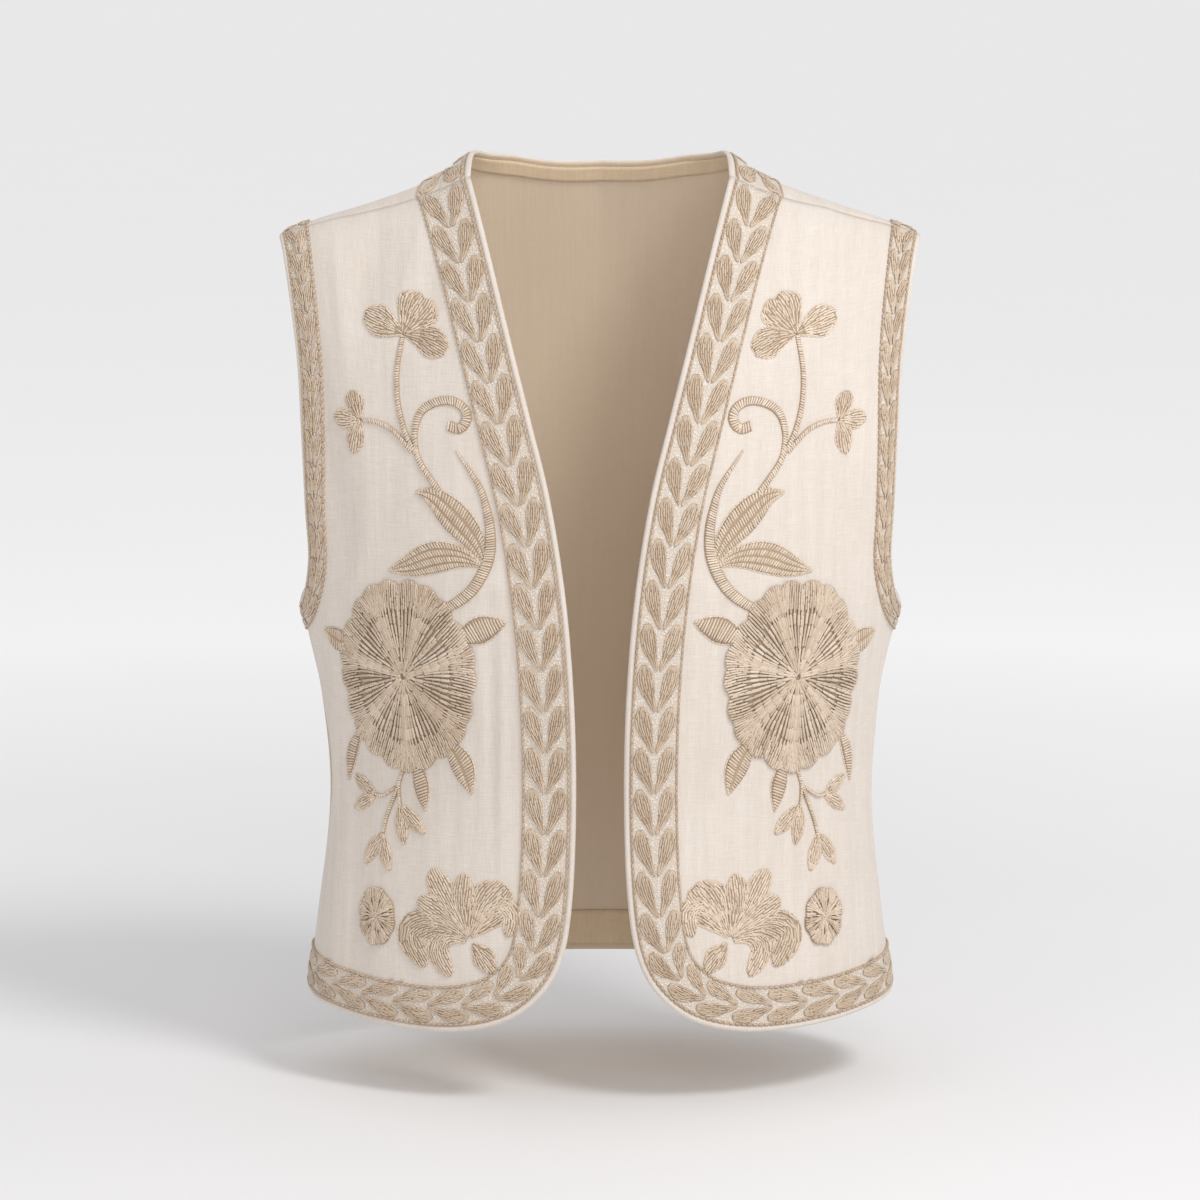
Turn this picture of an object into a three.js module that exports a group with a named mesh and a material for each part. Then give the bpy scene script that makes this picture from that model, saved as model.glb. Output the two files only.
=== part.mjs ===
// Embroidered linen waistcoat, worn open with no wearer.
// Lengths are in millimetres. +Z is up and the garment faces -Y.
// The origin lies midway between the two neck ends of the shoulders.

import * as THREE from "three";

// Cloth thicknesses and the space between pieces.
const PANEL = 1.6;
const BAND = 1.0;
const FACING = 1.0;
const GAP = 0.3;

// Widths of the strips that run along the edges, measured on the cloth.
const ROLLED_EDGE = 3.7;
const FRONT_BAND = 33;
const HEM_BAND = 27;
const ARMHOLE_EDGE = 3;
const ARMHOLE_BAND = 18.5;
const NECK_FACING = 10;

// Levels at which the form changes.
const CHEST = -240;
const SHOULDER_SPREAD = 20;

// Level sections of the worn form: half width, and depth before and behind.
const SECTIONS = [
  { level: -545, halfWidth: 187.0, front: 120, back: 119 },
  { level: -475, halfWidth: 177.5, front: 112, back: 110 },
  { level: -400, halfWidth: 168.5, front: 106, back: 101 },
  { level: -340, halfWidth: 173.0, front: 112, back: 104 },
  { level: -295, halfWidth: 182.5, front: 117, back: 109 },
  { level: -270, halfWidth: 188.5, front: 118, back: 111 },
  { level: -240, halfWidth: 191.0, front: 118, back: 112 },
];

// Top of the shoulders, from the centre plane outward.
const SHOULDER_LINE = [
  { out: 0, up: 30 },
  { out: 50, up: 14.5 },
  { out: 78, up: 0 },
  { out: 102, up: -16 },
  { out: 145, up: -31.5 },
  { out: 186, up: -45.5 },
  { out: 200, up: -53 },
  { out: 240, up: -82 },
];

// Upright curve from the chest to the shoulder line: its height and depth.
const CREST = { rise: 215, depth: 85 };

// Distance of the shoulder seam before the shoulder line.
const SHOULDER_SEAM = [
  { across: 60, forward: 36 },
  { across: 78, forward: 34 },
  { across: 103, forward: 25 },
  { across: 183, forward: 10 },
  { across: 200, forward: 5 },
  { across: 240, forward: 5 },
];

// Edge of a front from the shoulder seam by neck, opening and corner to the side.
const OPENING_EDGE = [
  { across: 79.5, level: 4.8 },
  { across: 67.5, level: -47 },
  { across: 54.0, level: -104 },
  { across: 41.8, level: -153 },
  { across: 30.0, level: -202 },
  { across: 20.6, level: -263 },
  { across: 15.8, level: -324 },
  { across: 14.5, level: -386 },
  { across: 16.6, level: -445 },
  { across: 22.5, level: -482 },
  { across: 36.0, level: -506 },
  { across: 60.0, level: -523 },
  { across: 98.0, level: -531 },
  { across: 150.0, level: -530.5 },
  { across: 195.0, level: -526 },
  { across: 236.0, level: -521 },
];

// Armhole edge of a front, from the shoulder seam to the side seam.
const FRONT_ARMHOLE = [
  { across: 198.0, level: -47 },
  { across: 196.5, level: -90 },
  { across: 197.0, level: -135 },
  { across: 200.5, level: -180 },
  { across: 203.0, level: -218 },
  { across: 203.5, level: -250 },
  { across: 214.0, level: -271 },
  { across: 239.0, level: -279 },
];

// Armhole edge of the back, from the shoulder seam to the side seam.
const BACK_ARMHOLE = [
  { across: 198.0, level: -38 },
  { across: 193.5, level: -90 },
  { across: 192.0, level: -135 },
  { across: 193.0, level: -180 },
  { across: 195.5, level: -218 },
  { across: 199.5, level: -248 },
  { across: 210.0, level: -269 },
  { across: 234.0, level: -279 },
];

// Neck edge of the back, from the shoulder seam to the centre.
const BACK_NECK = [
  { across: 79.5, level: 70 },
  { across: 77.5, level: 40 },
  { across: 70.0, level: 19 },
  { across: 50.0, level: 11 },
  { across: 27.0, level: 6.5 },
  { across: 0.0, level: 4.7 },
];

// Hem edge of the back, from the centre to the side seam.
const BACK_HEM = [
  { across: 0, level: -523.5 },
  { across: 80, level: -523.5 },
  { across: 160, level: -522.5 },
  { across: 235.4, level: -521 },
];

// Cells along each stretch of a panel's rim.
const SIDE_CELLS = 8;
const ARMHOLE_CELLS = 14;
const RISE_CELLS = SIDE_CELLS + ARMHOLE_CELLS;
const FRONT_HEM_CELLS = 9;
const SHOULDER_CELLS = 6;
const YOKE_CELLS = 4;
const NAPE_CELLS = 5;
const BACK_WIDTH_CELLS = NAPE_CELLS + SHOULDER_CELLS;

// Distance over which a strip turns to follow the seam at its end.
const SEAM_REACH = 90;

const FRONT = -1;
const BACK = 1;

// A value read from a table by a smooth curve through its rows.
function read(rows, key, column, at) {
  const last = rows.length - 1;
  const where = Math.min(Math.max(at, rows[0][key]), rows[last][key]);
  let i = 0;
  while (i < last - 1 && rows[i + 1][key] < where) {
    i += 1;
  }
  const slope = (k) => {
    const before = rows[Math.max(k - 1, 0)];
    const after = rows[Math.min(k + 1, last)];
    return (after[column] - before[column]) / (after[key] - before[key]);
  };
  const step = rows[i + 1][key] - rows[i][key];
  const t = (where - rows[i][key]) / step;
  const start = (2 * t ** 3 - 3 * t * t + 1) * rows[i][column];
  const end = (3 * t * t - 2 * t ** 3) * rows[i + 1][column];
  const leave = (t ** 3 - 2 * t * t + t) * slope(i) * step;
  const arrive = (t ** 3 - t * t) * slope(i + 1) * step;
  return start + end + leave + arrive;
}

// Quarter of a rounded section, as two arcs that meet smoothly.
function arcs(width, depth) {
  const turn = 1.4 * Math.atan(depth / width);
  const spread = (width - depth) / (Math.cos(turn) + Math.sin(turn) - 1);
  return {
    turn,
    wide: depth + spread * Math.cos(turn),
    tight: width - spread * Math.sin(turn),
  };
}

function quarterLength(width, depth) {
  if (depth < 0.001) {
    return width;
  }
  const { turn, wide, tight } = arcs(width, depth);
  return wide * turn + tight * (Math.PI / 2 - turn);
}

// Point at a distance along the quarter, from its middle to its end.
function onQuarter(width, depth, distance) {
  if (depth < 0.001) {
    return { along: distance, off: 0 };
  }
  const { turn, wide, tight } = arcs(width, depth);
  if (distance < wide * turn) {
    const t = distance / wide;
    return { along: wide * Math.sin(t), off: depth - wide + wide * Math.cos(t) };
  }
  const t = turn + (distance - wide * turn) / tight;
  if (t > Math.PI / 2) {
    return { along: width, off: -tight * (t - Math.PI / 2) };
  }
  return {
    along: (wide - tight) * Math.sin(turn) + tight * Math.sin(t),
    off: depth - wide + (wide - tight) * Math.cos(turn) + tight * Math.cos(t),
  };
}

function section(level, face) {
  const depth = face === FRONT ? "front" : "back";
  return {
    width: read(SECTIONS, "level", "halfWidth", level),
    depth: read(SECTIONS, "level", depth, level),
  };
}

const shoulderUp = (out) => read(SHOULDER_LINE, "out", "up", out);

// Distance over the cloth from the chest line to the shoulder line.
function columnLength(across, face) {
  const chest = section(CHEST, face);
  const reach = Math.min(across, quarterLength(chest.width, chest.depth));
  const { off } = onQuarter(chest.width, chest.depth, reach);
  return quarterLength(shoulderUp(Math.min(across, 240)) - CHEST, Math.max(off, 20));
}

// Point of the form between the chest line and the shoulder line.
function aboveChest(across, share, face) {
  const { rise, depth } = CREST;
  const crest = onQuarter(rise, depth, share * quarterLength(rise, depth));
  const raised = crest.along / rise;
  const chest = section(CHEST, face);
  const width = chest.width + SHOULDER_SPREAD * raised;
  const { along, off } = onQuarter(width, (chest.depth * crest.off) / depth, across);
  const up = CHEST + (shoulderUp(along) - CHEST) * raised;
  return new THREE.Vector3(along, face * off, up);
}

// Point of the form: distance across the cloth from the centre plane, and level.
// Over the chest line the level is counted up the cloth.
function place(across, level, face) {
  const side = across < 0 ? -1 : 1;
  const out = Math.abs(across);
  let point;
  if (level <= CHEST) {
    const { width, depth } = section(level, face);
    const { along, off } = onQuarter(width, depth, out);
    point = new THREE.Vector3(along, face * off, level);
  } else {
    const column = columnLength(out, face);
    const share = (level - CHEST) / column;
    if (share <= 1) {
      point = aboveChest(out, share, face);
    } else {
      const beyond = (level - CHEST - column) / columnLength(out, -face);
      point = aboveChest(out, 1 - beyond, -face);
    }
  }
  point.x *= side;
  return point;
}

// Outward direction of the form at a point of the pattern.
function outward(across, level, face) {
  const h = 0.5;
  const wide = place(across + h, level, face).sub(place(across - h, level, face));
  const tall = place(across, level + h, face).sub(place(across, level - h, face));
  return wide.cross(tall).normalize().multiplyScalar(-face);
}

// Level of the shoulder seam, and distance of the side seam from the centre.
function shoulderSeam(across, face) {
  const forward = read(SHOULDER_SEAM, "across", "forward", across);
  return CHEST + columnLength(across, face) + face * forward - GAP / 2;
}

function sideSeam(level, face) {
  const { width, depth } = section(level, face);
  return quarterLength(width, depth) - GAP / 2;
}

const point = (across, level) => new THREE.Vector2(across, level);
const onShoulder = (p, face) => point(p.x, shoulderSeam(p.x, face));
const onSide = (p, face) => point(sideSeam(p.y, face), p.y);
const onCentre = (p) => point(0, p.y);

// Rows of points along an edge, one row for each depth in from the edge.
function strip(table, inward, depths, shares, snapStart, snapEnd) {
  const edge = new THREE.SplineCurve(table.map((r) => point(r.across, r.level)));
  edge.arcLengthDivisions = 600;
  const length = edge.getLength();
  const step = (share, depth) => {
    const tangent = edge.getTangentAt(share);
    const normal = point(-tangent.y, tangent.x).multiplyScalar(inward * depth(share));
    return edge.getPointAt(share).add(normal);
  };
  return depths.map((depth) => {
    const first = step(0, depth);
    const last = step(1, depth);
    const startShift = snapStart(first).sub(first);
    const endShift = snapEnd(last).sub(last);
    return shares.map((share) => {
      const near = Math.max(0, 1 - (share * length) / SEAM_REACH) ** 2;
      const far = Math.max(0, 1 - ((1 - share) * length) / SEAM_REACH) ** 2;
      const moved = step(share, depth);
      moved.addScaledVector(startShift, near);
      return moved.addScaledVector(endShift, far);
    });
  });
}

// Evenly spaced shares of a length, from one share to another.
function evenly(from, to, cells) {
  return Array.from({ length: cells + 1 }, (_, i) => from + ((to - from) * i) / cells);
}

function straight(from, to, cells) {
  return evenly(0, 1, cells).map((t) => from.clone().lerp(to, t));
}

// Grid of points that fills four edges, each listed outward from one corner.
function fill(bottom, top, left, right) {
  const n = bottom.length - 1;
  const m = left.length - 1;
  return left.map((_, j) =>
    bottom.map((__, i) => {
      const u = i / n;
      const v = j / m;
      const p = point(0, 0);
      p.addScaledVector(bottom[i], 1 - v).addScaledVector(top[i], v);
      p.addScaledVector(left[j], 1 - u).addScaledVector(right[j], u);
      p.addScaledVector(bottom[0], -(1 - u) * (1 - v)).addScaledVector(bottom[n], -u * (1 - v));
      p.addScaledVector(top[0], -(1 - u) * v).addScaledVector(top[n], -u * v);
      return p;
    })
  );
}

// Four-cornered cells of a grid.
function cells(grid) {
  const list = [];
  for (let j = 0; j < grid.length - 1; j += 1) {
    for (let i = 0; i < grid[0].length - 1; i += 1) {
      list.push([grid[j][i], grid[j][i + 1], grid[j + 1][i + 1], grid[j + 1][i]]);
    }
  }
  return list;
}

const mirrored = (list) => list.map((cell) => cell.map((p) => point(-p.x, p.y)));
const bothSides = (list) => [...list, ...mirrored(list)];

// Closed wall of cloth over the cells, between two distances from the form.
function cloth(name, list, face, outer, inner, colour, roughness) {
  const points = [];
  const known = new Map();
  const indexOf = (p) => {
    const key = `${Math.round(p.x * 1000)},${Math.round(p.y * 1000)}`;
    if (!known.has(key)) {
      known.set(key, points.length);
      points.push(p);
    }
    return known.get(key);
  };
  const skin = [];
  for (const cell of list) {
    const [a, b, c, d] = cell.map(indexOf);
    const [p, q, r] = cell;
    const turn = (q.x - p.x) * (r.y - p.y) - (q.y - p.y) * (r.x - p.x);
    if (turn * face < 0) {
      skin.push([a, b, c], [a, c, d]);
    } else {
      skin.push([c, b, a], [d, c, a]);
    }
  }
  const count = points.length;
  const position = [];
  for (const distance of [outer, inner]) {
    for (const p of points) {
      const at = place(p.x, p.y, face);
      at.addScaledVector(outward(p.x, p.y, face), distance);
      position.push(at.x, at.y, at.z);
    }
  }
  const index = [];
  const edges = new Set();
  for (const [a, b, c] of skin) {
    index.push(a, b, c);
    index.push(count + c, count + b, count + a);
    edges.add(`${a},${b}`);
    edges.add(`${b},${c}`);
    edges.add(`${c},${a}`);
  }
  for (const edge of edges) {
    const [a, b] = edge.split(",").map(Number);
    if (!edges.has(`${b},${a}`)) {
      index.push(b, a, count + a);
      index.push(b, count + a, count + b);
    }
  }
  const geometry = new THREE.BufferGeometry();
  geometry.setAttribute("position", new THREE.Float32BufferAttribute(position, 3));
  geometry.setIndex(index);
  geometry.computeVertexNormals();
  const material = new THREE.MeshStandardMaterial({ color: colour, roughness, metalness: 0 });
  const mesh = new THREE.Mesh(geometry, material);
  mesh.name = name;
  return mesh;
}

// Depths of a strip's rows in from the edge.
const fixed = (...depths) => depths.map((d) => () => d);

// The opening strip is wider down the front than along the hem.
const CORNER = 0.73;
const openingDepths = [0, ROLLED_EDGE, 13, 23, FRONT_BAND].map((d) => (share) => {
  if (d <= ROLLED_EDGE) {
    return d;
  }
  const part = (d - ROLLED_EDGE) / (FRONT_BAND - ROLLED_EDGE);
  const turned = Math.min(Math.max((share - CORNER + 0.1) / 0.2, 0), 1);
  const eased = turned * turned * (3 - 2 * turned);
  const full = FRONT_BAND + (HEM_BAND - FRONT_BAND) * eased;
  return ROLLED_EDGE + part * (full - ROLLED_EDGE);
});
const armholeDepths = fixed(0, ARMHOLE_EDGE, 10.5, ARMHOLE_BAND);
const neckDepths = fixed(0, ROLLED_EDGE, NECK_FACING, 21, FRONT_BAND);
const hemDepths = fixed(0, ROLLED_EDGE, 15, HEM_BAND);

// Rim and middle of a front.
const opening = strip(
  OPENING_EDGE,
  1,
  openingDepths,
  [...evenly(0, CORNER, RISE_CELLS), ...evenly(CORNER, 1, FRONT_HEM_CELLS).slice(1)],
  (p) => onShoulder(p, FRONT),
  (p) => onSide(p, FRONT)
);
const frontArmhole = strip(
  FRONT_ARMHOLE,
  -1,
  armholeDepths,
  evenly(0, 1, ARMHOLE_CELLS),
  (p) => onShoulder(p, FRONT),
  (p) => onSide(p, FRONT)
);

function seamAlongShoulder(from, to, count, face) {
  return straight(from, to, count).map((p) => onShoulder(p, face));
}

function seamAlongSide(from, to, count, face) {
  return straight(from, to, count).map((p) => onSide(p, face));
}

const openingInner = opening.at(-1);
const frontArmholeInner = frontArmhole.at(-1);
const frontMiddle = fill(
  openingInner.slice(RISE_CELLS),
  seamAlongShoulder(openingInner[0], frontArmholeInner[0], FRONT_HEM_CELLS, FRONT),
  openingInner.slice(0, RISE_CELLS + 1).reverse(),
  [
    ...seamAlongSide(openingInner.at(-1), frontArmholeInner.at(-1), SIDE_CELLS, FRONT),
    ...[...frontArmholeInner].reverse().slice(1),
  ]
);

// Rim and middle of half the back.
const neck = strip(
  BACK_NECK,
  1,
  neckDepths,
  evenly(0, 1, YOKE_CELLS + NAPE_CELLS),
  (p) => onShoulder(p, BACK),
  onCentre
);
const backArmhole = strip(
  BACK_ARMHOLE,
  -1,
  armholeDepths,
  evenly(0, 1, ARMHOLE_CELLS),
  (p) => onShoulder(p, BACK),
  (p) => onSide(p, BACK)
);
const hem = strip(
  BACK_HEM,
  1,
  hemDepths,
  evenly(0, 1, BACK_WIDTH_CELLS),
  onCentre,
  (p) => onSide(p, BACK)
);
const neckInner = neck.at(-1);
const backArmholeInner = backArmhole.at(-1);
const hemInner = hem.at(-1);

// The back's middle is filled above and below a line across the shoulder blades.
const yokeLine = straight(neckInner[YOKE_CELLS], backArmholeInner[YOKE_CELLS], SHOULDER_CELLS);
const backYoke = fill(
  yokeLine,
  seamAlongShoulder(neckInner[0], backArmholeInner[0], SHOULDER_CELLS, BACK),
  neckInner.slice(0, YOKE_CELLS + 1).reverse(),
  backArmholeInner.slice(0, YOKE_CELLS + 1).reverse()
);
const backMiddle = fill(
  hemInner,
  [...neckInner.slice(YOKE_CELLS).reverse(), ...yokeLine.slice(1)],
  straight(hemInner[0], neckInner.at(-1), RISE_CELLS - YOKE_CELLS),
  [
    ...seamAlongSide(hemInner.at(-1), backArmholeInner.at(-1), SIDE_CELLS, BACK),
    ...backArmholeInner.slice(YOKE_CELLS, -1).reverse(),
  ]
);

const LINEN = "#e4dacf";
const THREAD = "#d3c3a8";
const INSIDE = "#cfc2b0";

const frontPanel = [...cells(opening), ...cells(frontArmhole), ...cells(frontMiddle)];
const frontBand = cells(opening.slice(1));
const frontArmholeBand = cells(frontArmhole.slice(1));
const backRim = [...cells(neck), ...cells(backArmhole), ...cells(hem)];
const backPanel = [...backRim, ...cells(backYoke), ...cells(backMiddle)];
const backNeckBand = cells(neck.slice(1));
const backArmholeBand = cells(backArmhole.slice(1));
const backHemBand = cells(hem.slice(1));
const neckFacing = cells(neck.slice(0, 3));
const hemFacing = cells(hem);

const garment = new THREE.Group();
garment.name = "waistcoat";

function addPanel(name, list, face) {
  garment.add(cloth(name, list, face, 0, -PANEL, LINEN, 0.9));
}

function addBand(name, list, face) {
  garment.add(cloth(name, list, face, GAP + BAND, GAP, THREAD, 0.7));
}

function addFacing(name, list, face) {
  const top = -PANEL - GAP;
  garment.add(cloth(name, list, face, top, top - FACING, INSIDE, 0.9));
}

addPanel("front_left", frontPanel, FRONT);
addPanel("front_right", mirrored(frontPanel), FRONT);
addPanel("back", bothSides(backPanel), BACK);
addBand("front_band_left", frontBand, FRONT);
addBand("front_band_right", mirrored(frontBand), FRONT);
addBand("armhole_band_front_left", frontArmholeBand, FRONT);
addBand("armhole_band_front_right", mirrored(frontArmholeBand), FRONT);
addBand("armhole_band_back_left", backArmholeBand, BACK);
addBand("armhole_band_back_right", mirrored(backArmholeBand), BACK);
addBand("back_neck_band", bothSides(backNeckBand), BACK);
addBand("back_hem_band", bothSides(backHemBand), BACK);
addFacing("back_neck_facing", bothSides(neckFacing), BACK);
addFacing("back_hem_facing", bothSides(hemFacing), BACK);

export default garment;
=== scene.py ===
"""Embroidered linen waistcoat, worn open with no wearer."""

import math

import bpy
import numpy as np
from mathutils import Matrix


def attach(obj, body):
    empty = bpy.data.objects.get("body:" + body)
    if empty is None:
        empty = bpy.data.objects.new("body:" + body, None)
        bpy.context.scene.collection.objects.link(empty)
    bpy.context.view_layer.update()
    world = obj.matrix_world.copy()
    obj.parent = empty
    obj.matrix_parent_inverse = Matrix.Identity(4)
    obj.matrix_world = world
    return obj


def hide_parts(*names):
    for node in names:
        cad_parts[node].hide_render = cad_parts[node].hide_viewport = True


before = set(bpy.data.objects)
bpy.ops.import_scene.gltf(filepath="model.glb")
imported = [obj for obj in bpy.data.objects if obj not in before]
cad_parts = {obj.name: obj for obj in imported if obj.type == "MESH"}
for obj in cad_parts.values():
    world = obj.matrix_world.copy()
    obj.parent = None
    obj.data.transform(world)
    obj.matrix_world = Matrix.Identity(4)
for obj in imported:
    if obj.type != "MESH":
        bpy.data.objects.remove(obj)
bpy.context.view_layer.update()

# Everything below is worked out in millimetres and set down in metres.
MM = 0.001
FRONT, BACK = -1, 1

# ------------------------------------------------------------------ the form
CHEST = -240.0
SPREAD = 20.0
CREST_RISE, CREST_DEPTH = 215.0, 85.0

# level, half width, depth before, depth behind
SECTIONS = (
    (-545, 187.0, 120, 119), (-475, 177.5, 112, 110), (-400, 168.5, 106, 101),
    (-340, 173.0, 112, 104), (-295, 182.5, 117, 109), (-270, 188.5, 118, 111),
    (-240, 191.0, 118, 112),
)
# distance out, height of the shoulder
SHOULDER_LINE = (
    (0, 30), (50, 14.5), (78, 0), (102, -16), (145, -31.5), (186, -45.5), (200, -53),
    (240, -82),
)
# distance across, distance of the shoulder seam before the shoulder line
SHOULDER_SEAM = ((60, 36), (78, 34), (103, 25), (183, 10), (200, 5), (240, 5))
# distance across, level
OPENING_EDGE = (
    (79.5, 4.8), (67.5, -47), (54.0, -104), (41.8, -153), (30.0, -202), (20.6, -263),
    (15.8, -324), (14.5, -386), (16.6, -445), (22.5, -482), (36.0, -506), (60.0, -523),
    (98.0, -531), (150.0, -530.5), (195.0, -526), (236.0, -521),
)
FRONT_ARMHOLE = (
    (198.0, -47), (196.5, -90), (197.0, -135), (200.5, -180), (203.0, -218), (203.5, -250),
    (214.0, -271), (239.0, -279),
)
BACK_ARMHOLE = (
    (198.0, -38), (193.5, -90), (192.0, -135), (193.0, -180), (195.5, -218), (199.5, -248),
    (210.0, -269), (234.0, -279),
)
BACK_NECK = ((79.5, 70), (77.5, 40), (70.0, 19), (50.0, 11), (27.0, 6.5), (0.0, 4.7))
BACK_HEM = ((0, -523.5), (80, -523.5), (160, -522.5), (235.4, -521))

GAP = 0.3
PANEL = 1.6
ROLLED_EDGE = 3.7
FRONT_BAND = 33.0
HEM_BAND = 27.0
ARMHOLE_EDGE = 3.0
ARMHOLE_BAND = 18.5
SEAM_REACH = 90.0
CORNER = 0.73


def read(rows, column, at):
    """A value read from a table by a smooth curve through its rows."""
    table = np.asarray(rows, float)
    key, value = table[:, 0], table[:, column]
    at = np.clip(at, key[0], key[-1])
    i = np.clip(np.searchsorted(key, at, side="left") - 1, 0, len(key) - 2)
    before = np.maximum(np.arange(len(key)) - 1, 0)
    after = np.minimum(np.arange(len(key)) + 1, len(key) - 1)
    slope = (value[after] - value[before]) / (key[after] - key[before])
    step = key[i + 1] - key[i]
    t = (at - key[i]) / step
    return (
        (2 * t**3 - 3 * t * t + 1) * value[i]
        + (3 * t * t - 2 * t**3) * value[i + 1]
        + (t**3 - 2 * t * t + t) * slope[i] * step
        + (t**3 - t * t) * slope[i + 1] * step
    )


def arcs(width, depth):
    turn = 1.4 * np.arctan(depth / width)
    spread = (width - depth) / (np.cos(turn) + np.sin(turn) - 1)
    return turn, depth + spread * np.cos(turn), width - spread * np.sin(turn)


def quarter_length(width, depth):
    turn, wide, tight = arcs(width, np.maximum(depth, 0.01))
    return wide * turn + tight * (math.pi / 2 - turn)


def on_quarter(width, depth, distance):
    """Point at a distance along a rounded quarter, from its middle to its end."""
    depth = np.maximum(depth, 0.01)
    turn, wide, tight = arcs(width, depth)
    s = distance / wide
    t = turn + (distance - wide * turn) / tight
    bend = np.minimum(t, math.pi / 2)
    flat = distance < wide * turn
    along = np.where(
        flat,
        wide * np.sin(s),
        (wide - tight) * np.sin(turn) + tight * np.sin(bend),
    )
    off = np.where(
        flat,
        depth - wide + wide * np.cos(s),
        depth - wide + (wide - tight) * np.cos(turn) + tight * np.cos(bend),
    )
    return along, np.where(t > math.pi / 2, -tight * (t - math.pi / 2), off)


def section(level, face):
    return read(SECTIONS, 1, level), read(SECTIONS, 2 if face == FRONT else 3, level)


def shoulder_up(out):
    return read(SHOULDER_LINE, 1, out)


def column_length(across, face):
    width, depth = section(CHEST, face)
    _, off = on_quarter(width, depth, np.minimum(across, quarter_length(width, depth)))
    rise = shoulder_up(np.minimum(across, 240)) - CHEST
    return quarter_length(rise, np.maximum(off, 20))


def above_chest(across, share, face):
    height, off = on_quarter(CREST_RISE, CREST_DEPTH, share * quarter_length(CREST_RISE, CREST_DEPTH))
    raised = height / CREST_RISE
    width, depth = section(CHEST, face)
    along, off = on_quarter(width + SPREAD * raised, depth * off / CREST_DEPTH, across)
    return along, face * off, CHEST + (shoulder_up(along) - CHEST) * raised


def place(across, level, face):
    """Points of the form, from the distance across the cloth and the level."""
    across, level = np.broadcast_arrays(np.asarray(across, float), np.asarray(level, float))
    out = np.abs(across)
    width, depth = section(level, face)
    along, off = on_quarter(width, depth, out)
    low = (along, face * off, level)
    column = column_length(out, face)
    share = (level - CHEST) / column
    near = above_chest(out, np.clip(share, 0, 1), face)
    beyond = 1 - (level - CHEST - column) / column_length(out, -face)
    far = above_chest(out, np.clip(beyond, 0, 1), -face)
    point = [
        np.where(level <= CHEST, a, np.where(share <= 1, b, c)) for a, b, c in zip(low, near, far)
    ]
    point[0] = point[0] * np.where(across < 0, -1, 1)
    return np.stack(point, -1)


def outward(across, level, face):
    h = 0.5
    wide = place(across + h, level, face) - place(across - h, level, face)
    tall = place(across, level + h, face) - place(across, level - h, face)
    normal = np.cross(wide, tall)
    return -face * normal / np.linalg.norm(normal, axis=-1, keepdims=True)


def shoulder_seam(across, face):
    forward = read(SHOULDER_SEAM, 1, across)
    return CHEST + column_length(across, face) + face * forward - GAP / 2


def side_seam(level, face):
    return quarter_length(*section(level, face)) - GAP / 2


# ------------------------------------------------------- creases of the cloth
# face, from across, level, to across, level, width, height: minus is a trough.
# Across is plus on the wearer's left.
CREASES = (
    (FRONT, 63, -285, 60, -430, 3.2, 0.7),
    (FRONT, 70, -300, 68, -400, 4.0, -0.7),
    (FRONT, 57, -330, 58, -440, 2.8, -0.5),
    (FRONT, 118, -20, 128, -90, 9.0, -1.0),
    (FRONT, 134, -16, 146, -84, 8.0, 1.1),
    (FRONT, 160, -30, 168, -120, 10.0, -1.0),
    (FRONT, 176, -120, 174, -240, 12.0, 1.0),
    (FRONT, 60, -255, 86, -262, 5.0, 0.8),
    (FRONT, 190, -290, 186, -420, 11.0, -1.3),
    (FRONT, 206, -300, 210, -450, 10.0, 1.2),
    (FRONT, 120, -420, 112, -500, 9.0, -0.7),
    (FRONT, 168, -420, 172, -510, 10.0, 0.9),
    (FRONT, -61, -280, -59, -440, 3.4, 0.8),
    (FRONT, -68, -290, -66, -410, 4.0, -0.8),
    (FRONT, -75, -310, -71, -390, 4.2, 0.5),
    (FRONT, -112, -18, -122, -100, 8.0, 1.0),
    (FRONT, -136, -20, -150, -130, 11.0, -1.3),
    (FRONT, -158, -40, -168, -150, 9.0, 1.2),
    (FRONT, -178, -110, -172, -260, 12.0, -1.1),
    (FRONT, -58, -252, -88, -262, 5.5, 1.1),
    (FRONT, -60, -266, -80, -272, 4.5, -0.8),
    (FRONT, -150, -190, -164, -280, 9.0, 0.9),
    (FRONT, -186, -300, -190, -430, 10.0, 1.2),
    (FRONT, -204, -300, -200, -440, 11.0, -1.4),
    (FRONT, -104, -400, -112, -500, 8.0, 0.8),
    (FRONT, -164, -430, -170, -515, 9.0, -0.9),
    (BACK, 30, -60, 34, -220, 14.0, 1.3),
    (BACK, -42, -70, -50, -240, 15.0, -1.2),
    (BACK, 96, -90, 110, -260, 15.0, -1.3),
    (BACK, -112, -80, -130, -230, 14.0, 1.2),
    (BACK, 168, -190, 140, -330, 12.0, 1.4),
    (BACK, -174, -200, -150, -320, 12.0, -1.4),
    (BACK, 20, -330, -40, -350, 12.0, -1.2),
    (BACK, 70, -360, 130, -344, 10.0, 1.1),
    (BACK, -80, -366, -150, -350, 11.0, 1.2),
    (BACK, 14, -400, 10, -500, 12.0, 1.0),
    (BACK, -66, -400, -70, -510, 14.0, -1.1),
    (BACK, 120, -410, 126, -505, 13.0, -1.2),
    (BACK, -160, -400, -166, -500, 12.0, 1.1),
)


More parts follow.
